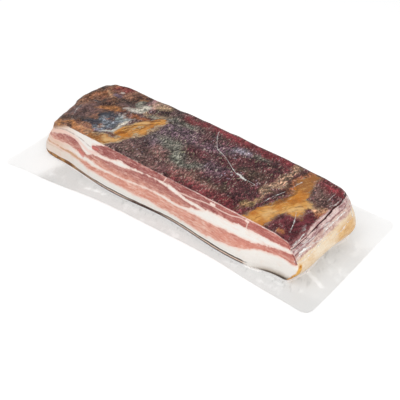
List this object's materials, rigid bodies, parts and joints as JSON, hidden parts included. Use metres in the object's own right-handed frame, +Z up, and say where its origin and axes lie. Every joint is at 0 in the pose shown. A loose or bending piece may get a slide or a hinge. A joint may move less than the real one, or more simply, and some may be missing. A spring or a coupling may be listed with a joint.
{
  "type": "vacuum packed pancetta",
  "caption": "Flat slab of cured pork belly with layers of lean and fat and a dark cured top, sealed in a clear vacuum bag with a flat margin all round.",
  "frame": {"origin": "middle of the bag's box, on the surface it lies on", "axes": "+X along the slab towards its fatter end, -Y towards the cut face, +Z up"},
  "size_m": [0.3758, 0.175, 0.0469],
  "materials": {
    "cured_meat": "marbled lean and fat under film",
    "clear_film": "clear gloss"
  },
  "bodies": {
    "root": {"pancetta_slab": "cured_meat", "vacuum_bag": "clear_film"}
  },
  "joints": []
}
